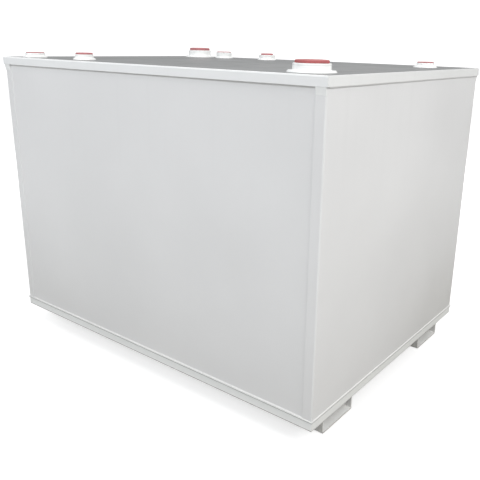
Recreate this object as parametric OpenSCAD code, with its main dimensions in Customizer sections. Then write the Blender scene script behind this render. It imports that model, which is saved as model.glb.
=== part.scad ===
// Rectangular double wall steel fuel tank on two lengthwise skid channels.
// Millimetres, +Z up. Origin: centre of the footprint, on the plane the skids stand on.
// +X runs along the tank to the right end, -Y is the front long side.

/* [Tank body] */
// Length over the two end sheets
tank_l = 1886; // [1600:2:2200]
// Width over the folded corner returns
tank_w = 1400; // [1200:2:1600]
// Height of the side walls, from floor plate to the underside of the top plate
wall_h = 1278; // [900:1:1500]
// Sheet thickness of the outer walls
wall_t = 3.4; // [2.6:0.2:5]
// Outside radius of the vertical corner bends
bend_r = 8; // [6:1:14]
// Width of the end sheet's return that laps onto the long side
return_w = 44; // [30:1:60]

/* [Floor and base] */
// Thickness of the floor plate
floor_t = 6; // [5:1:10]
// How far the floor plate stands out past the walls
floor_lip = 4; // [2:1:10]
// Height of the flat bar rail under the floor edge
rail_h = 38; // [30:1:60]
// Thickness of the base rail
rail_t = 6; // [5:1:8]

/* [Skid channels] */
// Outside width of a skid channel
skid_w = 235; // [200:5:260]
// Drop of the channel below the base rail
skid_drop = 89; // [60:1:110]
// Plate thickness of the channel
skid_t = 6; // [5:1:8]
// Gap from the long side to the channel
skid_inset = 123; // [80:1:180]
// Distance the channel ends stop short of the tank ends
skid_setback = 23; // [12:1:40]

/* [Top] */
// Thickness of the top plate
deck_t = 5; // [4:1:8]
// Height of the flat bar rim round the top
rim_h = 37; // [25:1:45]
// Thickness of the rim
rim_t = 6; // [4:1:8]

/* [Inner tank] */
// Gap between the two walls
gap = 50; // [40:1:80]
// Sheet thickness of the inner tank
inner_t = 3.4; // [2.6:0.2:5]

/* [Large necks] */
// Outside radius of a large neck
big_r = 70; // [66:0.5:76]
// Bore radius of a large neck
big_bore = 53; // [48:0.5:56]
// Outside radius of the large neck's weld flange
big_flange_r = 88; // [80:1:96]
// Height of the right large neck above the top plate
big_h_right = 31; // [28:1:60]
// Height of the left large neck above the top plate
big_h_left = 40; // [28:1:60]
// Outside radius of the large red plug
big_plug_r = 62; // [57:0.5:65]
// Height of the large red plug above its neck
big_plug_h = 12; // [8:1:18]

/* [Small necks] */
// Outside radius of the fill, vent and supply necks
mid_r = 47; // [44:0.5:49]
// Outside radius of the gauge and leak check necks
small_r = 42; // [40:0.5:44]
// Bore radius of every small neck
small_bore = 28; // [24:0.5:31]
// Outside radius of a small neck's weld flange
small_flange_r = 54; // [52:1:56]
// Height of the front and right small necks above the top plate
low_h = 21; // [18:1:44]
// Height of the back small necks above the top plate
tall_h = 28; // [24:1:44]
// Radius of the supply neck's plug
supply_plug_r = 35.5; // [33:0.5:40]
// Height of a thin plug above its neck
thin_plug_h = 5; // [4:1:9]
// Height of the supply and gauge plugs above their necks
tall_plug_h = 9; // [5:1:14]
// Thickness of every weld flange
flange_t = 7; // [6:1:12]

/* [Hidden] */
$fn = 96;
skid_h = skid_drop + rail_h;          // channel height, up to the floor plate
z_rail = skid_drop;                   // underside of the base rail
z_floor = z_rail + rail_h;            // underside of the floor plate
z_wall = z_floor + floor_t;           // foot of the walls
z_deck = z_wall + wall_h;             // underside of the top plate
z_top = z_deck + deck_t;              // upper face of the top plate, level with the rim
hl = tank_l / 2;
hw = tank_w / 2;
skid_y = hw - skid_inset - skid_w / 2;

// inner tank box
in_l = tank_l - 2 * (wall_t + gap);
in_w = tank_w - 2 * (2 * wall_t + gap);
in_z0 = z_wall + gap;
in_z1 = z_deck - gap;

// necks: [x, y, reaches the inner tank, neck radius, flange radius, neck height, plug radius, plug height],
// placed from the tank's own corners so that they keep their margins on a longer or wider tank
p_event_r = [hl - 167, 159 - hw, true, big_r, big_flange_r, big_h_right, big_plug_r, big_plug_h];
p_event_l = [147 - hl, hw - 164, false, big_r, big_flange_r, big_h_left, big_plug_r, big_plug_h + 3];
p_fill = [108 - hl, 102 - hw, true, mid_r, small_flange_r, low_h - 1, mid_r - 4, thin_plug_h - 1];
p_gauge = [450 - hl, 139 - hw, true, small_r, small_flange_r - 4, low_h + 2, small_r - 3, tall_plug_h - 1];
p_vent = [352 - hl, hw - 164, true, mid_r, small_flange_r - 2, tall_h + 5, mid_r - 4, thin_plug_h - 1];
p_supply = [688 - hl, hw - 164, true, mid_r, small_flange_r - 2, tall_h - 1, supply_plug_r, tall_plug_h];
p_leak = [hl - 175, hw - 239, false, small_r, small_flange_r, low_h, small_r - 3, thin_plug_h];
big_ports = [p_event_r, p_event_l];
small_ports = [p_fill, p_gauge, p_vent, p_supply, p_leak];

c_white = "#DEDFDD";
c_deck = "#9A9B9C";
c_red = "#B5504E";
c_red_small = "#9C4F55";
c_inner = "#B4B6B8";

// ---- shared shapes -------------------------------------------------------

module box(x0, x1, y0, y1, z0, z1) {
    translate([x0, y0, z0]) cube([x1 - x0, y1 - y0, z1 - z0]);
}

// long side sheet for the side at -Y: it lies behind the folded returns
module long_sheet() {
    box(-hl + bend_r + 1, hl - bend_r - 1, -hw + wall_t, -hw + 2 * wall_t, z_wall, z_deck);
}

// quarter of the vertical bend at the corner (+X, -Y)
module corner_bend() {
    translate([hl - bend_r, -hw + bend_r, z_wall]) linear_extrude(z_deck - z_wall)
        intersection() {
            difference() { circle(r = bend_r); circle(r = bend_r - wall_t); }
            translate([0, -bend_r]) square([bend_r, bend_r]);
        }
}

module return_leg() {
    box(hl - return_w, hl - bend_r, -hw, -hw + wall_t, z_wall, z_deck);
}

// end sheet for the end at +X: flat face, two bends, two returns
module end_sheet() {
    union() {
        box(hl - wall_t, hl, -hw + bend_r, hw - bend_r, z_wall, z_deck);
        corner_bend();
        return_leg();
        mirror([0, 1, 0]) { corner_bend(); return_leg(); }
    }
}

// flat bar on edge along the outside of the face at y = -b, mitred ends
module rim_bar(a, b) {
    translate([0, 0, z_top - rim_h]) linear_extrude(rim_h) polygon([
        [-a - rim_t, -b - rim_t], [a + rim_t, -b - rim_t], [a, -b], [-a, -b]]);
}

// flat bar on edge under the floor plate, mitred ends
module base_rail(a, b) {
    translate([0, 0, z_rail]) linear_extrude(rail_h) polygon([
        [-a, -b], [a, -b], [a - rail_t, -b + rail_t], [-a + rail_t, -b + rail_t]]);
}

// outline of a formed channel with its web at the bottom and rounded bends
module channel_outline(w, h, r) {
    union() {
        translate([-w / 2, r]) square([w, h - r]);
        translate([-w / 2 + r, 0]) square([w - 2 * r, r + 1]);
        translate([-w / 2 + r, r]) circle(r = r);
        translate([w / 2 - r, r]) circle(r = r);
    }
}

// channel with its web down and both legs up against the floor plate
module skid_channel() {
    x = hl - skid_setback;
    r = skid_t + 3;
    translate([-x, 0, 0]) rotate([90, 0, 90]) linear_extrude(2 * x) difference() {
        channel_outline(skid_w, skid_h, r);
        translate([0, skid_t]) channel_outline(skid_w - 2 * skid_t, skid_h, r - skid_t);
    }
}

// round neck with a weld flange, open bore; deep necks run down to the inner tank
module neck(p, bore) {
    r = p[3];
    fr = max(p[4], r + 2);
    c = min(3, (fr - r) / 2);
    h = p[5];
    z0 = p[2] ? in_z1 - z_top : -deck_t - 18;
    translate([p[0], p[1], z_top]) rotate_extrude() polygon([
        [bore, z0], [r - 2, z0], [r - 2, 0], [fr, 0], [fr, flange_t - c],
        [fr - c, flange_t], [r, flange_t], [r, h - 2], [r - 2, h], [bore, h]]);
}

// plug with a flat head on the neck and a stem in the bore
module plug(p, bore) {
    r = p[6];
    ph = p[7];
    translate([p[0], p[1], z_top + p[5]]) rotate_extrude() polygon([
        [0, -18], [bore - 0.4, -18], [bore - 0.4, 0], [r, 0], [r, ph - 1.5], [r - 1.5, ph], [0, ph]]);
}

// ---- outer tank ----------------------------------------------------------

module outer_front_wall() color(c_white) long_sheet();
module outer_back_wall() color(c_white) mirror([0, 1, 0]) long_sheet();
module outer_right_end() color(c_white) end_sheet();
module outer_left_end() color(c_white) mirror([1, 0, 0]) end_sheet();

module outer_floor_plate() color(c_white)
    box(-hl - floor_lip, hl + floor_lip, -hw - floor_lip, hw + floor_lip, z_floor, z_wall);

module top_plate() color(c_deck) difference() {
    box(-hl, hl, -hw, hw, z_deck, z_top);
    for (p = concat(big_ports, small_ports))
        translate([p[0], p[1], z_deck - 1]) cylinder(r = p[3] - 1.5, h = deck_t + 2);
}

module rim_front() color(c_white) rim_bar(hl, hw);
module rim_back() color(c_white) rotate([0, 0, 180]) rim_bar(hl, hw);
module rim_right() color(c_white) rotate([0, 0, 90]) rim_bar(hw, hl);
module rim_left() color(c_white) rotate([0, 0, -90]) rim_bar(hw, hl);

module base_rail_front() color(c_white) base_rail(hl, hw);
module base_rail_back() color(c_white) rotate([0, 0, 180]) base_rail(hl, hw);
module base_rail_right() color(c_white) rotate([0, 0, 90]) base_rail(hw, hl);
module base_rail_left() color(c_white) rotate([0, 0, -90]) base_rail(hw, hl);

module skid_channel_front() color(c_white) translate([0, -skid_y, 0]) skid_channel();
module skid_channel_back() color(c_white) translate([0, skid_y, 0]) skid_channel();

// ---- inner tank ----------------------------------------------------------

module inner_tank_shell() color(c_inner) difference() {
    box(-in_l / 2, in_l / 2, -in_w / 2, in_w / 2, in_z0 + inner_t, in_z1 - inner_t);
    box(-in_l / 2 + inner_t, in_l / 2 - inner_t, -in_w / 2 + inner_t, in_w / 2 - inner_t,
        in_z0, in_z1);
}

module inner_tank_floor() color(c_inner)
    box(-in_l / 2, in_l / 2, -in_w / 2, in_w / 2, in_z0, in_z0 + inner_t);

module inner_tank_top() color(c_inner) difference() {
    box(-in_l / 2, in_l / 2, -in_w / 2, in_w / 2, in_z1 - inner_t, in_z1);
    for (p = big_ports) if (p[2])
        translate([p[0], p[1], in_z1 - inner_t - 1]) cylinder(r = big_bore, h = inner_t + 2);
    for (p = small_ports) if (p[2])
        translate([p[0], p[1], in_z1 - inner_t - 1]) cylinder(r = small_bore, h = inner_t + 2);
}

// four small channels across the floor plate carry the inner tank
module inner_bearer(i) color(c_inner) translate([(i - 2.5) * in_l / 4.4, 0, z_wall])
    difference() {
        box(-20, 20, -in_w / 2 + 30, in_w / 2 - 30, 0, gap);
        box(-16, 16, -in_w / 2 + 29, in_w / 2 - 29, -1, gap - 4);
    }

module inner_bearer_1() inner_bearer(1);
module inner_bearer_2() inner_bearer(2);
module inner_bearer_3() inner_bearer(3);
module inner_bearer_4() inner_bearer(4);

// ---- necks and plugs -----------------------------------------------------

module emergency_vent_neck_right() color(c_white) neck(p_event_r, big_bore);
module emergency_vent_plug_right() color(c_red) plug(p_event_r, big_bore);
module emergency_vent_neck_left() color(c_white) neck(p_event_l, big_bore);
module emergency_vent_plug_left() color(c_red) plug(p_event_l, big_bore);
module fill_neck() color(c_white) neck(p_fill, small_bore);
module fill_plug() color(c_red_small) plug(p_fill, small_bore);
module gauge_neck() color(c_white) neck(p_gauge, small_bore);
module gauge_plug() color(c_red_small) plug(p_gauge, small_bore);
module vent_neck() color(c_white) neck(p_vent, small_bore);
module vent_plug() color(c_red_small) plug(p_vent, small_bore);
module supply_neck() color(c_white) neck(p_supply, small_bore);
module supply_plug() color(c_red_small) plug(p_supply, small_bore);
module leak_check_neck() color(c_white) neck(p_leak, small_bore);
module leak_check_plug() color(c_red_small) plug(p_leak, small_bore);

// ---- nodes ---------------------------------------------------------------

outer_front_wall();
outer_back_wall();
outer_left_end();
outer_right_end();
outer_floor_plate();
top_plate();
rim_front();
rim_back();
rim_left();
rim_right();
base_rail_front();
base_rail_back();
base_rail_left();
base_rail_right();
skid_channel_front();
skid_channel_back();
inner_tank_shell();
inner_tank_floor();
inner_tank_top();
inner_bearer_1();
inner_bearer_2();
inner_bearer_3();
inner_bearer_4();
emergency_vent_neck_right();
emergency_vent_plug_right();
emergency_vent_neck_left();
emergency_vent_plug_left();
fill_neck();
fill_plug();
gauge_neck();
gauge_plug();
vent_neck();
vent_plug();
supply_neck();
supply_plug();
leak_check_neck();
leak_check_plug();
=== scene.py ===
import bpy, bmesh, math
from mathutils import Matrix, Vector, noise

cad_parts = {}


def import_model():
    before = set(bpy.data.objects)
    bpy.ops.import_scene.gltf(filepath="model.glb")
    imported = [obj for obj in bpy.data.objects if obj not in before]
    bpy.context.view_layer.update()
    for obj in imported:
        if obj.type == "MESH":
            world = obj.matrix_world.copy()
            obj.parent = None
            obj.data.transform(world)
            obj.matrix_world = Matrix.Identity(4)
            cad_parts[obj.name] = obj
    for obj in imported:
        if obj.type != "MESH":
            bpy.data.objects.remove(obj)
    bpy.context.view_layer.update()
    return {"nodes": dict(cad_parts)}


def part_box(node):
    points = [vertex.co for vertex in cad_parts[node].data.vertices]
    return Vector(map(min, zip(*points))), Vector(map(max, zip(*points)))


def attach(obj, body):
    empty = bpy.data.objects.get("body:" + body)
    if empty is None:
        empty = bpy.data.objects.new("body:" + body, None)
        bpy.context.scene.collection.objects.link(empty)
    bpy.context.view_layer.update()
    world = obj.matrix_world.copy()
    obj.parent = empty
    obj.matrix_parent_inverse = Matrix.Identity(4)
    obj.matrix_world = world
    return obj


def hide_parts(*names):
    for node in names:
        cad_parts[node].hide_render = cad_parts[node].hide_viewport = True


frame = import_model()
NODES = frame["nodes"]
SC = bpy.context.scene
TAU = 2 * math.pi

# ---------------------------------------------------------------- camera

cam_data = bpy.data.cameras.new("camera")
cam = bpy.data.objects.new("camera", cam_data)
SC.collection.objects.link(cam)
SC.camera = cam
cam_data.sensor_width = 36.0
cam_data.lens = 45.09
cam_data.shift_x = -0.0782
cam_data.shift_y = -0.0222
cam_data.clip_start, cam_data.clip_end = 0.02, 200.0
right = Vector((0.80194088, 0.59693268, 0.02371088))
down = Vector((0.19470842, -0.22364359, -0.9550247))
ahead = Vector((-0.56478267, 0.77049006, -0.29557675))
m = Matrix.Identity(4)
for i in range(3):
    m[i][0], m[i][1], m[i][2] = right[i], -down[i], -ahead[i]
m.translation = Vector((1.98924, -2.37776, 1.51015))
cam.matrix_world = m

# ---------------------------------------------------------------- materials

def lin(c):
    """sRGB 0-255 to linear."""
    return tuple((v / 255 / 12.92) if v / 255 <= 0.04045 else ((v / 255 + 0.055) / 1.055) ** 2.4 for v in c)


class Mat:
    """A small builder for node materials."""

    def __init__(self, name):
        self.m = bpy.data.materials.new(name)
        self.m.use_nodes = True
        self.t = self.m.node_tree
        self.t.nodes.clear()
        self.out = self.t.nodes.new("ShaderNodeOutputMaterial")
        self.b = self.t.nodes.new("ShaderNodeBsdfPrincipled")
        self.t.links.new(self.b.outputs[0], self.out.inputs[0])
        self.co = self.t.nodes.new("ShaderNodeTexCoord").outputs["Object"]

    def link(self, a, b):
        self.t.links.new(a, b)

    def set(self, **kw):
        for k, v in kw.items():
            self.b.inputs[k.replace("_", " ")].default_value = v
        return self

    def put(self, node, key, v):
        if hasattr(v, "links"):
            self.link(v, node.inputs[key])
        elif v is not None:
            node.inputs[key].default_value = v

    def stretch(self, scale):
        n = self.t.nodes.new("ShaderNodeMapping")
        self.link(self.co, n.inputs["Vector"])
        n.inputs["Scale"].default_value = scale
        return n.outputs[0]

    def noise(self, scale, detail=3.0, rough=0.5, vec=None, dist=0.0):
        n = self.t.nodes.new("ShaderNodeTexNoise")
        self.link(vec or self.co, n.inputs["Vector"])
        n.inputs["Scale"].default_value = scale
        n.inputs["Detail"].default_value = detail
        n.inputs["Roughness"].default_value = rough
        n.inputs["Distortion"].default_value = dist
        return n.outputs["Fac"]

    def voronoi(self, scale, vec=None):
        n = self.t.nodes.new("ShaderNodeTexVoronoi")
        self.link(vec or self.co, n.inputs["Vector"])
        n.inputs["Scale"].default_value = scale
        return n.outputs["Distance"]

    def fit(self, v, a, b, c=0.0, d=1.0, smooth=False):
        n = self.t.nodes.new("ShaderNodeMapRange")
        if smooth:
            n.interpolation_type = "SMOOTHSTEP"
        self.link(v, n.inputs["Value"])
        for k, x in zip(("From Min", "From Max", "To Min", "To Max"), (a, b, c, d)):
            n.inputs[k].default_value = x
        return n.outputs["Result"]

    def math(self, op, a, b=None):
        n = self.t.nodes.new("ShaderNodeMath")
        n.operation = op
        self.put(n, 0, a)
        self.put(n, 1, b)
        return n.outputs[0]

    def mix(self, f, a, b, kind="MIX"):
        n = self.t.nodes.new("ShaderNodeMix")
        n.data_type = "RGBA"
        n.blend_type = kind
        self.put(n, 0, f)
        for i, v in ((6, a), (7, b)):
            if hasattr(v, "links"):
                self.link(v, n.inputs[i])
            else:
                n.inputs[i].default_value = (*v, 1.0)
        return n.outputs[2]

    def axis(self, which, src="Object"):
        n = self.t.nodes.new("ShaderNodeSeparateXYZ")
        if src == "Object":
            self.link(self.co, n.inputs[0])
        else:
            g = self.t.nodes.new("ShaderNodeNewGeometry")
            self.link(g.outputs[src], n.inputs[0])
        return n.outputs["XYZ".index(which)]

    def color(self, v):
        self.link(v, self.b.inputs["Base Color"])

    def rough(self, v):
        self.link(v, self.b.inputs["Roughness"])

    def bump(self, *layers):
        """layers of (height, strength, distance in metres)"""
        last = None
        for h, s, d in layers:
            n = self.t.nodes.new("ShaderNodeBump")
            n.inputs["Strength"].default_value = s
            n.inputs["Distance"].default_value = d
            self.link(h, n.inputs["Height"])
            if last is not None:
                self.link(last, n.inputs["Normal"])
            last = n.outputs[0]
        self.link(last, self.b.inputs["Normal"])


def sheet_paint(name, base, rough=0.3, coat=0.35, grime=0.07, z0=0.13, tone=0.02, bottom_shade=None, top_highlight=None, corner=0.0):
    """Sprayed gloss enamel on steel sheet: slow colour drift, orange peel, faint runs and a little road dust low down;
    as options, painted shade along a bottom edge and towards the end sheets' lower back, and a painted highlight along
    a top edge.
    """
    k = Mat(name)
    slow = k.noise(1.1, 2.0, 0.5)
    mid = k.noise(6.0, 4.0, 0.55)
    fine = k.noise(70.0, 3.0, 0.6)
    runs = k.noise(1.0, 3.0, 0.6, k.stretch((26.0, 26.0, 0.9)))
    dark = tuple(c * (1 - 2 * tone) for c in base)
    light = tuple(min(1.0, c * (1 + tone)) for c in base)
    c = k.mix(k.fit(slow, 0.35, 0.65), dark, light)
    c = k.mix(k.fit(mid, 0.3, 0.7, 0.0, 0.10), c, tuple(x * 0.90 for x in base))
    # faint vertical runs left by rain, under the rim and fading down the sheet
    z = k.axis("Z")
    fade = k.fit(z, 0.75, 1.38, 0.0, 1.0, True)
    c = k.mix(k.math("MULTIPLY", k.fit(runs, 0.55, 0.78, 0.0, 0.12), fade), c, tuple(x * 0.82 for x in base))
    # dust that settles low on the sheet
    low = k.math("MULTIPLY", k.fit(z, z0 + 0.42, z0, 0.0, 1.0, True), k.fit(k.noise(5.0, 4.0, 0.55), 0.2, 0.8, 0.35, 1.0))
    c = k.mix(k.math("MULTIPLY", low, grime), c, (0.42, 0.39, 0.34))
    if bottom_shade:
        # painted shade: a dark band along the bottom edge, standing in for the dark line of shadow under it: (height of
        # the edge, amount)
        edge = k.math("MULTIPLY", k.fit(z, bottom_shade[0] + 0.0062, bottom_shade[0] + 0.0022, 0.0, 1.0, True), k.fit(fine, 0.28, 0.52, 0.45, 1.0))
        c = k.mix(k.math("MULTIPLY", edge, bottom_shade[1]), c, (0.17, 0.15, 0.13))
    if corner:
        # painted shade: the end sheets darken towards their lower back corner
        back = k.math("MULTIPLY", k.fit(z, 0.64, 0.12, 0.0, 1.0, True), k.fit(k.axis("Y"), -0.25, 0.68, 0.0, 1.0, True))
        back = k.math("MULTIPLY", back, k.fit(k.math("ABSOLUTE", k.axis("X", "Normal")), 0.5, 0.9))
        c = k.mix(k.math("MULTIPLY", back, k.fit(mid, 0.2, 0.8, corner * 0.85, corner * 1.15)), c, (0.40, 0.39, 0.36))
    if top_highlight:
        # painted highlight: lighter paint along a top edge, standing in for the light the eased edge catches: (height
        # of the edge, amount)
        edge = k.fit(z, top_highlight[0] - 0.0065, top_highlight[0] - 0.0045, 0.0, top_highlight[1], True)
        c = k.mix(edge, c, (0.97, 0.975, 0.975))
    # fine dust in the paint
    c = k.mix(k.fit(k.noise(150.0, 3.0, 0.6), 0.45, 0.85, 0.0, 0.06), c, tuple(x * 0.80 for x in base))
    k.color(c)
    k.rough(k.fit(k.math("ADD", mid, k.math("MULTIPLY", low, 0.5)), 0.25, 1.1, rough, rough + 0.15))
    peel = k.noise(330.0, 2.0, 0.5)
    k.bump((slow, 0.35, 0.004), (fine, 0.20, 0.0006), (peel, 0.22, 0.00035))
    k.set(Coat_Weight=coat, Coat_Roughness=0.12, Coat_IOR=1.5, IOR=1.48, Specular_IOR_Level=0.5)
    return k.m


def neck_paint(name, base):
    """Brighter enamel on turned and cast fittings, with machining rings just showing through."""
    k = Mat(name)
    mid = k.noise(35.0, 4.0, 0.55)
    fine = k.noise(260.0, 3.0, 0.6)
    c = k.mix(k.fit(mid, 0.3, 0.72), tuple(x * 0.95 for x in base), base)
    c = k.mix(k.fit(k.noise(90.0, 4.0, 0.7), 0.66, 0.76, 0.0, 0.35), c, tuple(x * 0.72 for x in base))
    k.color(c)
    k.rough(k.fit(mid, 0.2, 0.8, 0.30, 0.42))
    rings = k.t.nodes.new("ShaderNodeTexWave")
    rings.wave_type = "BANDS"
    rings.bands_direction = "Z"
    rings.inputs["Scale"].default_value = 260.0
    rings.inputs["Distortion"].default_value = 0.6
    k.link(k.co, rings.inputs["Vector"])
    k.bump((fine, 0.25, 0.0005), (rings.outputs["Fac"], 0.08, 0.0002))
    k.set(Coat_Weight=0.3, Coat_Roughness=0.15, IOR=1.48)
    return k.m


def deck_paint(name, base):
    """Grey semi-gloss top coat, with water marks, footprints' dust and fine sanding grit."""
    k = Mat(name)
    slow = k.noise(1.6, 3.0, 0.55)
    mid = k.noise(9.0, 5.0, 0.6)
    fine = k.noise(120.0, 4.0, 0.6)
    c = k.mix(k.fit(slow, 0.35, 0.65), tuple(x * 0.93 for x in base), tuple(min(1, x * 1.05) for x in base))
    c = k.mix(k.fit(mid, 0.52, 0.72, 0.0, 0.18), c, (base[0] * 0.84, base[1] * 0.83, base[2] * 0.81))
    # dried water rings
    pond = k.voronoi(3.2, k.stretch((1.0, 1.0, 1.0)))
    ring = k.math("MULTIPLY", k.fit(pond, 0.30, 0.34, 0.0, 1.0, True), k.fit(pond, 0.40, 0.35, 0.0, 1.0, True))
    c = k.mix(k.math("MULTIPLY", ring, k.fit(mid, 0.4, 0.6, 0.0, 0.14)), c, tuple(min(1, x * 1.14) for x in base))
    c = k.mix(k.fit(k.noise(240.0, 2.0, 0.5), 0.73, 0.78, 0.0, 0.3), c, (0.16, 0.155, 0.145))
    k.color(c)
    # duller where dust has dried on
    haze = k.math("ADD", k.math("MULTIPLY", k.noise(2.6, 4.0, 0.6), 0.7), k.math("MULTIPLY", mid, 0.3))
    k.rough(k.fit(haze, 0.38, 0.62, 0.30, 0.47))
    k.bump((k.noise(420.0, 2.0, 0.5), 0.05, 0.0001))
    k.set(IOR=1.45, Coat_Weight=0.0, Specular_IOR_Level=0.5)
    return k.m


def plug_plastic(name, base):
    """Moulded polyethylene: slightly waxy, lighter on top from sun fading and partly a painted highlight, fine mould
    grain.
    """
    k = Mat(name)
    mid = k.noise(30.0, 4.0, 0.6)
    up = k.axis("Z", "Normal")
    faded = tuple(min(1.0, x * 0.86 + 0.10) for x in base)
    deep = tuple(x * 0.80 for x in base)
    c = k.mix(k.fit(mid, 0.3, 0.7), deep, base)
    # lighter on upward faces: sun fading, and partly a painted highlight on the tops
    c = k.mix(k.math("MULTIPLY", k.fit(up, 0.2, 0.95, 0.0, 0.55), k.fit(mid, 0.2, 0.7, 0.6, 1.0)), c, faded)
    c = k.mix(k.fit(k.noise(160.0, 3.0, 0.6), 0.62, 0.74, 0.0, 0.4), c, tuple(x * 0.55 + 0.08 for x in base))
    k.color(c)
    k.rough(k.fit(k.noise(55.0, 3.0, 0.6), 0.3, 0.7, 0.42, 0.58))
    k.bump((k.noise(420.0, 3.0, 0.6), 0.3, 0.0003), (k.noise(60.0, 2.0, 0.5), 0.12, 0.0006))
    k.set(IOR=1.5, Subsurface_Weight=0.04, Subsurface_Scale=0.004)
    return k.m


def skid_paint(name, base):
    """A lighter copy of the tank's enamel on the channels, which is painted light lifting the shaded pockets; scuffed
    to primer and rust along the bottom edges, with painted shade on the web's sawn ends.
    """
    k = Mat(name)
    slow = k.noise(1.4, 2.0, 0.5)
    mid = k.noise(18.0, 5.0, 0.65)
    fine = k.noise(110.0, 4.0, 0.65)
    z = k.axis("Z")
    c = k.mix(k.fit(slow, 0.35, 0.65), tuple(x * 0.93 for x in base), base)
    dusty = k.math("MULTIPLY", k.fit(z, 0.10, 0.0, 0.15, 1.0), k.fit(mid, 0.35, 0.7))
    c = k.mix(k.math("MULTIPLY", dusty, 0.16), c, (0.40, 0.36, 0.30))
    # worn paint and rust along the bottom edges: real wear, made deep enough to also be painted shade along the skid's
    # dark bottom line
    scuff = k.math("MULTIPLY", k.fit(z, 0.0057, 0.0030, 0.0, 1.0, True), k.fit(fine, 0.34, 0.56))
    # painted shade: the web's sawn end faces darkened over their whole height, standing in for the dark line of shadow
    # at the skid's end
    ends = k.math("MULTIPLY", k.fit(k.math("ABSOLUTE", k.axis("X", "Normal")), 0.6, 0.9), k.fit(z, 0.0095, 0.0062, 0.0, 1.0, True))
    scuff = k.math("MAXIMUM", scuff, k.math("MULTIPLY", ends, k.fit(fine, 0.25, 0.5, 0.6, 1.0)))
    c = k.mix(k.math("MULTIPLY", scuff, 0.72), c, (0.18, 0.15, 0.125))
    k.color(c)
    k.rough(k.fit(k.math("ADD", mid, scuff), 0.3, 1.5, 0.34, 0.80))
    k.bump((k.noise(330.0, 2.0, 0.5), 0.2, 0.00035), (k.math("MULTIPLY", scuff, -1.0), 0.4, 0.0004))
    k.set(Coat_Weight=0.15, Coat_Roughness=0.2, IOR=1.48)
    return k.m


def bare_steel(name):
    """Mill scale on the inner tank's plate."""
    k = Mat(name)
    mid = k.noise(12.0, 6.0, 0.65)
    c = k.mix(k.fit(mid, 0.3, 0.7), (0.20, 0.205, 0.215), (0.36, 0.365, 0.375))
    c = k.mix(k.fit(k.noise(40.0, 5.0, 0.7), 0.60, 0.72, 0.0, 0.6), c, (0.26, 0.13, 0.07))
    k.color(c)
    k.rough(k.fit(mid, 0.3, 0.7, 0.35, 0.6))
    k.bump((k.noise(150.0, 4.0, 0.6), 0.25, 0.0004))
    k.set(Metallic=0.85)
    return k.m


WHITE = lin((226, 226, 227))
# the sheets' white enamel, with painted shade towards the end sheets' lower back corner
BODY = sheet_paint("enamel_white", WHITE, corner=0.26)
# painted light: the rims take lighter copies of the white enamel than the sheets, the end rims a touch darker than the
# long ones; the long rims also carry the painted highlight along their top edge
RIM = sheet_paint("enamel_rim", lin((234, 235, 236)), grime=0.04, top_highlight=(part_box("rim_front")[1].z, 0.9))
RIM_END = sheet_paint("enamel_rim_end", lin((231, 232, 232)), grime=0.04)
# painted light: a lighter copy of the white enamel, so the downward slope under the rim over the returns doesn't fall
# darker than its neighbours
SEAM = sheet_paint("seam_painted_light", lin((240, 241, 241)), grime=0.04)
LEDGE = sheet_paint("enamel_ledge", lin((225, 225, 224)), grime=0.10)
# painted shade: a darker copy of the white enamel on the floor plate, standing in for the shade under the base lip
PLATE = sheet_paint("plate_edge_painted_shade", lin((202, 203, 202)), grime=0.10)
FOOT_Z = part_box("base_rail_front")[0].z
# painted light: the base rails take lighter copies of the white enamel than the sheets; the long rails carry more of
# the painted shade along their bottom edge than the end ones
RAIL = sheet_paint("enamel_rail", lin((242, 243, 243)), grime=0.05, bottom_shade=(FOOT_Z, 0.75))
RAIL_END = sheet_paint("enamel_rail_end", lin((240, 241, 240)), grime=0.05, bottom_shade=(FOOT_Z, 0.35))
NECK = neck_paint("enamel_neck", lin((240, 241, 240)))
DECK = deck_paint("enamel_deck", lin((128, 129, 129)))
RED = plug_plastic("plug_red", lin((180, 95, 96)))
RED_FADED = plug_plastic("plug_red_faded", lin((188, 119, 121)))
# painted light: skid paint lighter than the tank's enamel, lifting the shaded pockets under the tank
SKID = skid_paint("enamel_skid", lin((244, 244, 243)))
STEEL = bare_steel("mill_steel")

# ---------------------------------------------------------------- mesh helpers

def obj(name, verts, faces, mat, slot, *nodes, sharp=32.0):
    me = bpy.data.meshes.new(name)
    me.from_pydata([tuple(v) for v in verts], [], faces)
    me.validate()
    bm = bmesh.new()
    bm.from_mesh(me)
    bmesh.ops.remove_doubles(bm, verts=bm.verts, dist=1e-6)
    bmesh.ops.recalc_face_normals(bm, faces=bm.faces)
    bm.to_mesh(me)
    bm.free()
    return finish_piece(name, me, mat, nodes, sharp)


def finish_piece(name, me, mat, nodes, sharp=32.0):
    for p in me.polygons:
        p.use_smooth = True
    me.set_sharp_from_angle(angle=math.radians(sharp))
    me.materials.clear()
    me.materials.append(mat)
    o = bpy.data.objects.new(name, me)
    SC.collection.objects.link(o)
    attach(o, "root")
    if nodes:
        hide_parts(*nodes)
    return o


def level(o):
    """Keeps the flat faces beside small eased edges flat in shading too."""
    w = o.modifiers.new("weighted_normals", "WEIGHTED_NORMAL")
    w.mode = "FACE_AREA"
    w.weight = 70
    w.keep_sharp = True
    return o


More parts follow.
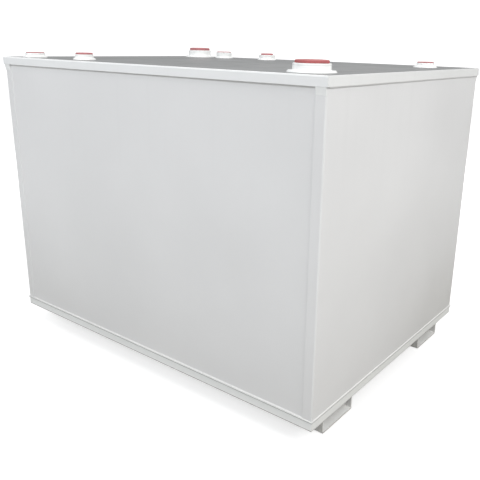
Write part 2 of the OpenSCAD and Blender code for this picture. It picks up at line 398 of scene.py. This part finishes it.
def rounded(name, node, mat, r=0.0012, seg=3, limit=30.0):
    """The CAD node's own shape with its edges eased, as rolled or sheared plate has them."""
    me = NODES[node].data.copy()
    me.name = name
    bm = bmesh.new()
    bm.from_mesh(me)
    bmesh.ops.remove_doubles(bm, verts=bm.verts, dist=2e-5)
    bmesh.ops.dissolve_limit(bm, angle_limit=math.radians(1.0), verts=bm.verts, edges=bm.edges)
    sharp = [e for e in bm.edges if len(e.link_faces) == 2 and e.calc_face_angle(0) > math.radians(limit)]
    bmesh.ops.bevel(bm, geom=sharp, offset=r, segments=seg, profile=0.5, affect="EDGES", clamp_overlap=True)
    bmesh.ops.recalc_face_normals(bm, faces=bm.faces)
    bm.to_mesh(me)
    bm.free()
    for a in list(me.attributes):
        if a.name.startswith("custom_normal"):
            me.attributes.remove(a)
    return level(finish_piece(name, me, mat, (node,), 35.0))


def skin(name, nu, nv, point, back, mat, slot, *nodes):
    """A closed sheet: point(u, v) is its outer face and back(u, v) its inner one, u and v from 0 to 1."""
    verts, faces = [], []
    for f in (point, back):
        for j in range(nv + 1):
            for i in range(nu + 1):
                verts.append(f(i / nu, j / nv))
    n = (nu + 1) * (nv + 1)
    at = lambda s, i, j: s * n + j * (nu + 1) + i
    for j in range(nv):
        for i in range(nu):
            faces.append((at(0, i, j), at(0, i + 1, j), at(0, i + 1, j + 1), at(0, i, j + 1)))
            faces.append((at(1, i, j), at(1, i, j + 1), at(1, i + 1, j + 1), at(1, i + 1, j)))
    for i in range(nu):
        faces.append((at(0, i, 0), at(1, i, 0), at(1, i + 1, 0), at(0, i + 1, 0)))
        faces.append((at(0, i, nv), at(0, i + 1, nv), at(1, i + 1, nv), at(1, i, nv)))
    for j in range(nv):
        faces.append((at(0, 0, j), at(0, 0, j + 1), at(1, 0, j + 1), at(1, 0, j)))
        faces.append((at(0, nu, j), at(1, nu, j), at(1, nu, j + 1), at(0, nu, j + 1)))
    return level(obj(name, verts, faces, mat, slot, *nodes))


def lathe(name, prof, centre, mat, slot, *nodes, seg=128, ripple=None, sharp=32.0):
    """Turns a profile of (r, z) about the vertical axis through centre. A profile that starts and ends off the axis closes on itself."""
    verts, rows = [], []
    for r, z in prof:
        if r < 1e-7:
            rows.append([len(verts)])
            verts.append(centre + Vector((0, 0, z)))
            continue
        row = []
        for s in range(seg):
            a = TAU * s / seg
            rr = r + (ripple(a, r, z) if ripple else 0.0)
            row.append(len(verts))
            verts.append(centre + Vector((rr * math.cos(a), rr * math.sin(a), z)))
        rows.append(row)
    faces = []
    closed = len(rows[0]) > 1 and len(rows[-1]) > 1
    pairs = list(zip(rows, rows[1:])) + ([(rows[-1], rows[0])] if closed else [])
    for a, b in pairs:
        for s in range(seg):
            t = (s + 1) % seg
            if len(a) == 1 and len(b) == 1:
                continue
            if len(a) == 1:
                faces.append((a[0], b[t], b[s]))
            elif len(b) == 1:
                faces.append((a[s], a[t], b[0]))
            else:
                faces.append((a[s], a[t], b[t], b[s]))
    return level(obj(name, verts, faces, mat, slot, *nodes, sharp=sharp))


def bead(name, path, across, up, leg, mat, slot, pitch=0.0042, closed=False, seed=0.0, bulge=1.15):
    """A fillet weld bead along path. across and up, per point, are the unit directions away from the corner along the two plates."""
    prof = []
    for i in range(6):
        a = i / 5 * math.pi / 2
        prof.append((math.cos(a) ** bulge, math.sin(a) ** bulge))
    prof = [(-0.35, -0.35)] + [(1.0, -0.35)] + prof + [(-0.35, 1.0)]
    verts, faces = [], []
    run, n = 0.0, len(path)
    for k in range(n):
        p = path[k]
        if k:
            run += (path[k] - path[k - 1]).length
        ph = (run / pitch) % 1.0
        rip = 0.10 * (1.0 - abs(2 * ph - 1.0)) ** 0.7
        wob = 0.10 * noise.noise(Vector((run * 18.0, seed, 0.3))) + 0.06 * noise.noise(Vector((run * 70.0, seed, 7.1)))
        s = leg * (0.92 + rip + wob)
        for x, y in prof:
            verts.append(p + across[k] * (x * s if x > 0 else x * leg) + up[k] * (y * s if y > 0 else y * leg))
    w = len(prof)
    last = n if closed else n - 1
    for k in range(last):
        a, b = k * w, ((k + 1) % n) * w
        for i in range(w):
            j = (i + 1) % w
            faces.append((a + i, b + i, b + j, a + j))
    if not closed:
        faces.append(tuple(range(w - 1, -1, -1)))
        faces.append(tuple((n - 1) * w + i for i in range(w)))
    return obj(name, verts, faces, mat, slot, sharp=60.0)


def straight(a, b, step=0.0014):
    n = max(2, int((b - a).length / step))
    return [a.lerp(b, i / n) for i in range(n + 1)]


def straight_bead(name, a, b, across, up, leg, mat, slot, **kw):
    p = straight(Vector(a), Vector(b))
    return bead(name, p, [Vector(across)] * len(p), [Vector(up)] * len(p), leg, mat, slot, **kw)


def ring_bead(name, centre, r, leg, mat, slot, seed=0.0):
    n = max(120, int(TAU * r / 0.0014))
    path, ac, up = [], [], []
    for i in range(n):
        a = TAU * i / n
        d = Vector((math.cos(a), math.sin(a), 0))
        path.append(centre + d * r)
        ac.append(d)
        up.append(Vector((0, 0, 1)))
    return bead(name, path, ac, up, leg, mat, slot, closed=True, seed=seed)


# ---------------------------------------------------------------- sheets

def wave(x, z, seed):
    """How far a welded sheet wanders from flat, in metres."""
    v = Vector((x * 1.7, z * 1.7, seed))
    w = Vector((x * 4.6, z * 3.9, seed + 9.0))
    return 0.0017 * noise.noise(v) + 0.0005 * noise.noise(w)


def pull(u, v):
    """1 in the open part of a sheet, 0 where its edges are welded down."""
    e = min(u, 1 - u, v, 1 - v)
    return min(1.0, e / 0.06) ** 1.5


for side, node in ((-1, "outer_front_wall"), (1, "outer_back_wall")):
    lo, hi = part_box(node)
    face = lo.y if side < 0 else hi.y
    deep = hi.y if side < 0 else lo.y

    def point(u, v, lo=lo, hi=hi, face=face, side=side):
        x, z = lo.x + (hi.x - lo.x) * u, lo.z + (hi.z - lo.z) * v
        bow = 0.0011 * math.sin(math.pi * u) * math.sin(math.pi * v)
        return (x, face + side * pull(u, v) * (bow + wave(x, z, side * 3.1)), z)

    def back(u, v, lo=lo, hi=hi, deep=deep):
        return (lo.x + (hi.x - lo.x) * u, deep, lo.z + (hi.z - lo.z) * v)

    skin(node + "_sheet", 110, 76, point, back, BODY, "white_paint", node)

R_BEND = 0.008


def end_outline(lo, hi, side, t):
    """Half outline points of the bent end sheet in plan, inset t from its outer face, from one return's edge to the other's."""
    pts = []
    x_face = (hi.x if side > 0 else lo.x)
    r = R_BEND - t
    edge = (lo.x if side > 0 else hi.x)
    n_ret, n_arc, n_face = 3, 8, 60
    y0, y1 = lo.y + t, hi.y - t
    cx = x_face - side * R_BEND
    for i in range(n_ret):
        pts.append((edge + (cx - edge) * i / n_ret, y0))
    for i in range(n_arc + 1):
        a = math.pi / 2 * i / n_arc
        pts.append((cx + side * r * math.sin(a), lo.y + R_BEND - r * math.cos(a)))
    ya, yb = lo.y + R_BEND, hi.y - R_BEND
    for i in range(1, n_face):
        pts.append((x_face - side * t, ya + (yb - ya) * i / n_face))
    for i in range(n_arc + 1):
        a = math.pi / 2 * (1 - i / n_arc)
        pts.append((cx + side * r * math.sin(a), hi.y - R_BEND + r * math.cos(a)))
    for i in range(1, n_ret + 1):
        pts.append((cx + (edge - cx) * i / n_ret, y1))
    return pts


for side, node in ((-1, "outer_left_end"), (1, "outer_right_end")):
    lo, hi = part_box(node)
    outer, inner = end_outline(lo, hi, side, 0.0), end_outline(lo, hi, side, 0.0034)
    nu = len(outer) - 1
    x_face = hi.x if side > 0 else lo.x

    def point(u, v, outer=outer, lo=lo, hi=hi, side=side, x_face=x_face):
        x, y = outer[round(u * (len(outer) - 1))]
        z = lo.z + (hi.z - lo.z) * v
        if abs(x - x_face) < 1e-6:
            f = (y - lo.y) / (hi.y - lo.y)
            bow = 0.0009 * math.sin(math.pi * f) * math.sin(math.pi * v)
            x += side * pull(f, v) * (bow + wave(y, z, side * 5.3))
        return (x, y, z)

    def back(u, v, inner=inner, lo=lo, hi=hi):
        x, y = inner[round(u * (len(inner) - 1))]
        return (x, y, lo.z + (hi.z - lo.z) * v)

    skin(node + "_sheet", nu, 76, point, back, BODY, "white_paint", node)

# ---------------------------------------------------------------- plates, bars and channels

for n in ("rim_front", "rim_back", "rim_left", "rim_right"):
    rounded(n + "_bar", n, RIM if n[4:] in ("front", "back") else RIM_END, r=0.0016)
for n in ("base_rail_front", "base_rail_back", "base_rail_left", "base_rail_right"):
    rounded(n + "_bar", n, RAIL if n[10:] in ("front", "back") else RAIL_END, r=0.0014)
rounded("outer_floor_plate_eased", "outer_floor_plate", PLATE, r=0.0014)
for n in ("skid_channel_front", "skid_channel_back"):
    rounded(n + "_eased", n, SKID, r=0.0009, limit=50.0)


def dress(node, mat):
    o = NODES[node]
    for s in o.material_slots:
        s.link = "OBJECT"
        s.material = mat


dress("top_plate", DECK)
for n in NODES:
    if n.startswith("inner_"):
        dress(n, STEEL)

# ---------------------------------------------------------------- weld beads

fp_lo, fp_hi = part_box("outer_floor_plate")
fw_lo, fw_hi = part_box("outer_front_wall")
bw_lo, bw_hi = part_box("outer_back_wall")
le_lo, le_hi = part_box("outer_left_end")
re_lo, re_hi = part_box("outer_right_end")
ZF = fp_hi.z
LEG = 0.0033
rim_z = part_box("rim_front")[0].z
rf_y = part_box("rim_back")[1].y
ret_x = re_lo.x                      # free edge of the right end's return
for side, lo, hi, nm in ((-1, fw_lo, fw_hi, "front"), (1, bw_lo, bw_hi, "back")):
    y = lo.y if side < 0 else hi.y
    straight_bead("weld_base_" + nm, (-ret_x, y, ZF), (ret_x, y, ZF), (0, side, 0), (0, 0, 1), LEG, LEDGE, "white_paint", seed=side)
    straight_bead("weld_rim_" + nm, (-ret_x, y, rim_z), (ret_x, y, rim_z), (0, side, 0), (0, 0, -1), 0.0046, BODY, "white_paint", seed=side * 11)
    for sx, end in ((-1, "left"), (1, "right")):
        # lap weld where the end sheet's return lies on the long sheet
        straight_bead("weld_lap_%s_%s" % (nm, end), (sx * ret_x, y, ZF + 0.001), (sx * ret_x, y, fw_hi.z - 0.001),
                      (-sx, 0, 0), (0, side, 0), 0.0030, BODY, "white_paint", seed=side * 2 + sx)
        yy = le_lo.y if side < 0 else le_hi.y
        # the same seam over the return, dressed to a long slope, in the lighter seam paint: painted light against the
        # slope's shade
        straight_bead("weld_rim_%s_%s" % (nm, end), (sx * (ret_x + 0.0004), yy, rim_z), (sx * (re_hi.x - 0.001), yy, rim_z),
                      (0, side, 0), (0, 0, -5.4), abs(rf_y - abs(yy)) * 0.84, SEAM, "white_paint", seed=side * 9 + sx, bulge=2.1)
        straight_bead("weld_return_%s_%s" % (nm, end), (sx * ret_x, yy, ZF), (sx * (re_hi.x - R_BEND), yy, ZF),
                      (0, side, 0), (0, 0, 1), LEG * 0.4, LEDGE, "white_paint", seed=side * 5 + sx)
for side, x, nm in ((-1, le_lo.x, "left"), (1, re_hi.x, "right")):
    straight_bead("weld_base_" + nm, (x, le_lo.y + R_BEND, ZF), (x, le_hi.y - R_BEND, ZF), (side, 0, 0), (0, 0, 1), LEG, LEDGE, "white_paint", seed=side * 7)
    straight_bead("weld_rim_" + nm, (x, le_lo.y + R_BEND, rim_z), (x, le_hi.y - R_BEND, rim_z), (side, 0, 0), (0, 0, -1), 0.0046, BODY, "white_paint", seed=side * 13)

# ---------------------------------------------------------------- necks and plugs

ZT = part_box("top_plate")[1].z
PORTS = ("emergency_vent_neck_right", "emergency_vent_neck_left", "fill_neck", "gauge_neck", "vent_neck", "supply_neck", "leak_check_neck")
for i, n in enumerate(PORTS):
    lo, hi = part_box(n)
    plug_node = n.replace("neck", "plug")
    plo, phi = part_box(plug_node)
    c = Vector(((lo.x + hi.x) / 2, (lo.y + hi.y) / 2, ZT))
    fr = (hi.x - lo.x) / 2
    h = hi.z - ZT
    z0 = lo.z - ZT
    big = "emergency" in n
    red = RED if n == "emergency_vent_neck_right" else RED_FADED     # the others have faded more
    pr, ph = (phi.x - plo.x) / 2, phi.z - hi.z
    r = {"emergency_vent_neck_right": 0.070, "emergency_vent_neck_left": 0.070, "fill_neck": 0.047, "vent_neck": 0.047,
         "supply_neck": 0.047, "gauge_neck": 0.042, "leak_check_neck": 0.042}[n]
    bore = 0.053 if big else 0.028
    ft = 0.007
    w = min(0.0028, (fr - r) * 0.42)     # weld between flange and collar
    e = min(0.0042, (fr - r) * 0.45)     # eased rim of the flange
    prof = [(bore, z0), (r - 0.002, z0), (r - 0.002, 0.0002), (fr - 0.0006, 0.0002), (fr, 0.0010), (fr, ft - 0.0034),
            (fr - e * 0.2, ft - 0.0016), (fr - e * 0.75, ft - 0.0002), (fr - e, ft), (r + w, ft), (r + w * 0.55, ft + w * 0.25),
            (r + w * 0.2, ft + w * 0.62), (r, ft + w * 1.1)]
    # fine grooves of a pipe thread run out on the outside of the collar's upper part
    z = h - 0.009
    prof += [(r, z - 0.001), (r - 0.0007, z), (r - 0.0007, z + 0.0016), (r, z + 0.0024)]
    prof += [(r, h - 0.0030), (r - 0.0006, h - 0.0014), (r - 0.0018, h - 0.0004), (r - 0.0030, h)]
    # chamfered mouth and internal thread
    prof += [(bore + 0.0026, h), (bore + 0.0008, h - 0.0018)]
    z = h - 0.0026
    while z > max(z0 + 0.004, h - 0.046):
        prof += [(bore + 0.0008, z), (bore, z - 0.0009), (bore, z - 0.0015), (bore + 0.0008, z - 0.0024)]
        z -= 0.0030
    lathe(n + "_turned", prof, c, NECK, "neck_paint", n, seg=144 if big else 112, sharp=28.0)
    ring_bead("weld_" + n, c + Vector((0, 0, 0.0)), fr - 0.0002, 0.0030, NECK, "neck_paint", seed=i * 1.7)

    # plug: ribbed rim, dished top with a square drive boss
    hz = hi.z - ZT
    ribs = 60 if big else 44

    def ripple(a, rr, zz, pr=pr, hz=hz, ph=ph, ribs=ribs):
        if rr > pr - 0.0016 and hz + ph * 0.12 < zz < hz + ph * 0.80:
            return -0.0009 * (0.5 - 0.5 * math.cos(a * ribs)) ** 0.6
        return 0.0

    g = 0.0004
    dish = min(0.0045, ph * 0.45)
    sr = bore - 0.0006
    prof = [(0, hz - 0.018), (sr - 0.0014, hz - 0.018), (sr, hz - 0.0166)]
    z = hz - 0.0155
    while z < hz - 0.003:
        prof += [(sr, z), (sr - 0.0009, z + 0.0009), (sr - 0.0009, z + 0.0014), (sr, z + 0.0023)]
        z += 0.0030
    # under face, ribbed skirt, rounded shoulder, crowned top with a dish in the middle
    s = min(0.0052, ph * 0.42)
    skirt = max(ph * 0.30, ph - s)
    prof += [(sr - 0.0008, hz - 0.0006), (sr - 0.0008, hz + g), (pr - 0.0016, hz + g), (pr - 0.0004, hz + ph * 0.10), (pr, hz + ph * 0.18),
             (pr, hz + skirt * 0.6), (pr, hz + skirt)]
    for k in range(1, 7):
        a = k / 6 * math.pi / 2
        prof.append((pr - s * (1 - math.cos(a)), hz + skirt + (ph * 0.93 - skirt) * math.sin(a)))
    prof += [(pr * 0.84, hz + ph * 0.965), (pr * 0.76, hz + ph * 0.99), (pr * 0.70, hz + ph), (pr * 0.66, hz + ph), (pr * 0.64, hz + ph - dish * 0.12),
             (pr * 0.61, hz + ph - dish), (pr * 0.40, hz + ph - dish), (0, hz + ph - dish)]
    lathe(plug_node + "_moulded", prof, c, red, "red_plastic", plug_node, seg=ribs * 6, ripple=ripple, sharp=40.0)

    # square drive boss with eased edges, standing in the dish
    s = pr * (0.30 if big else 0.34)
    bm = bmesh.new()
    bmesh.ops.create_cube(bm, size=1.0)
    bmesh.ops.scale(bm, vec=(2 * s, 2 * s, dish - 0.0002 + 0.001), verts=bm.verts)
    bmesh.ops.bevel(bm, geom=list(bm.edges), offset=min(0.0012, dish * 0.3), segments=3, profile=0.5, affect="EDGES")
    bmesh.ops.rotate(bm, cent=(0, 0, 0), matrix=Matrix.Rotation(0.35 + i * 0.8, 3, "Z"), verts=bm.verts)
    bmesh.ops.translate(bm, vec=c + Vector((0, 0, hz + ph - dish + (dish - 0.0002 - 0.001) / 2)), verts=bm.verts)
    me = bpy.data.meshes.new(plug_node + "_boss")
    bm.to_mesh(me)
    bm.free()
    level(finish_piece(plug_node + "_boss", me, red, ()))

# ---------------------------------------------------------------- stage

def plain(name, c, rough=0.8):
    k = Mat(name)
    f = k.noise(2.0, 3.0, 0.5)
    k.color(k.mix(k.fit(f, 0.3, 0.7), tuple(x * 0.985 for x in c), c))
    k.rough(k.fit(f, 0.3, 0.7, rough - 0.04, rough + 0.04))
    return k.m


def disc(name, z, radius, mat):
    bm = bmesh.new()
    bmesh.ops.create_circle(bm, cap_ends=True, radius=radius, segments=96)
    bmesh.ops.translate(bm, vec=(0, 0, z), verts=bm.verts)
    me = bpy.data.meshes.new(name)
    bm.to_mesh(me)
    bm.free()
    me.materials.append(mat)
    o = bpy.data.objects.new(name, me)
    SC.collection.objects.link(o)
    return o


# The floor is pale to look at. Its bounce and its reflection in the paint are those of a greyer studio floor just under it.
def radial(k):
    n = k.t.nodes.new("ShaderNodeVectorMath")
    n.operation = "LENGTH"
    k.link(k.co, n.inputs[0])
    return n.outputs["Value"]


def glow(m, strength):
    """Lets a stage material give off a little white of its own."""
    m.set(Emission_Color=(1.0, 1.0, 1.0, 1.0))
    if hasattr(strength, "links"):
        m.link(strength, m.b.inputs["Emission Strength"])
    else:
        m.set(Emission_Strength=strength)
    return m.m


fl = Mat("floor_pale")
fl.color(fl.mix(fl.fit(fl.noise(2.0, 3.0, 0.5), 0.3, 0.7), (0.50, 0.50, 0.50), (0.51, 0.51, 0.51)))
fl.set(Roughness=0.85)
# painted light: the floor glows, more towards the outside, which thins the tank's shadow near it and whitens the far
# floor
floor = disc("floor", 0.0, 60.0, glow(fl, fl.fit(radial(fl), 1.6, 6.0, 0.62, 0.82, True)))
floor.visible_diffuse = floor.visible_glossy = floor.visible_shadow = False
ug = Mat("floor_grey")
ug.color(ug.mix(ug.fit(radial(ug), 1.2, 6.0, 0.0, 1.0, True), (0.26, 0.253, 0.228), (0.50, 0.50, 0.49)))
ug.set(Roughness=0.85)
under = disc("floor_bounce", -0.0006, 30.0, ug.m)
under.visible_camera = False

# a low grey screen round the set, for the paint to reflect, paler behind the tank and to its right
verts, faces = [], []
N = 48
for k in range(N):
    a = TAU * k / N
    for z in (-0.02, 3.4):
        verts.append((13 * math.cos(a), 13 * math.sin(a), z))
for k in range(N):
    j = (k + 1) % N
    faces.append((2 * k, 2 * k + 1, 2 * j + 1, 2 * j))
me = bpy.data.meshes.new("screen")
me.from_pydata(verts, [], faces)
sg = Mat("screen_grey")
sx, sy = sg.axis("X"), sg.axis("Y")
lift = sg.math("ADD", sg.fit(sx, -9.4, -7.8, 0.0, 0.24, True), sg.fit(sx, -4.0, 5.0, 0.0, 0.25, True))
lift = sg.math("MULTIPLY", lift, sg.fit(sy, -1.0, 1.0))
sg.color(sg.mix(lift, (0.18, 0.18, 0.185), (1.0, 1.0, 1.0)))
sg.set(Roughness=0.8)
me.materials.append(sg.m)
screen = bpy.data.objects.new("screen", me)
SC.collection.objects.link(screen)
screen.visible_camera = False
screen.visible_shadow = False

# white backdrop, far off and only seen by the camera
bm = bmesh.new()
bmesh.ops.create_uvsphere(bm, u_segments=48, v_segments=24, radius=59.0)
me = bpy.data.meshes.new("backdrop")
bm.to_mesh(me)
bm.free()
bd = Mat("backdrop_white")
bd.color(bd.mix(bd.fit(bd.noise(0.05, 2.0, 0.5), 0.3, 0.7), (0.30, 0.30, 0.30), (0.31, 0.31, 0.31)))
bd.set(Roughness=1.0)
me.materials.append(glow(bd, 0.95))
backdrop = bpy.data.objects.new("backdrop", me)
SC.collection.objects.link(backdrop)
backdrop.visible_diffuse = backdrop.visible_glossy = backdrop.visible_shadow = backdrop.visible_transmission = False

world = bpy.data.worlds.new("studio")
SC.world = world
world.use_nodes = True
bg = world.node_tree.nodes["Background"]
bg.inputs["Color"].default_value = (0.985, 0.99, 1.0, 1.0)
bg.inputs["Strength"].default_value = 0.70


def softbox(name, loc, target, size, power, color=(1, 1, 1), shine=True):
    d = bpy.data.lights.new(name, "AREA")
    d.shape = "RECTANGLE"
    d.size, d.size_y = size
    d.energy = power
    d.color = color
    o = bpy.data.objects.new(name, d)
    SC.collection.objects.link(o)
    o.location = loc
    o.rotation_mode = "QUATERNION"
    o.rotation_quaternion = (Vector(target) - Vector(loc)).to_track_quat("-Z", "Y")
    o.visible_glossy = shine
    return o


softbox("key_right", (5.2, -1.1, 4.9), (0.5, 0, 0.9), (3.5, 3.5), 264, (1.0, 0.993, 0.972))
softbox("key_front", (-1.15, -5.0, 3.9), (-0.1, 0, 1.0), (3.4, 2.4), 159, (0.945, 0.975, 1.0))
# low fills for the two sides turned away from the keys
softbox("fill_back", (-0.6, 6.0, 2.0), (0.0, 0.7, 0.8), (4.0, 1.8), 120, shine=False)
softbox("fill_left", (-5.8, 0.9, 2.0), (-0.95, 0.0, 0.8), (3.0, 1.8), 95, shine=False)

SC.view_settings.view_transform = "Standard"
SC.view_settings.look = "None"
SC.view_settings.exposure = 0.0
SC.view_settings.gamma = 1.0
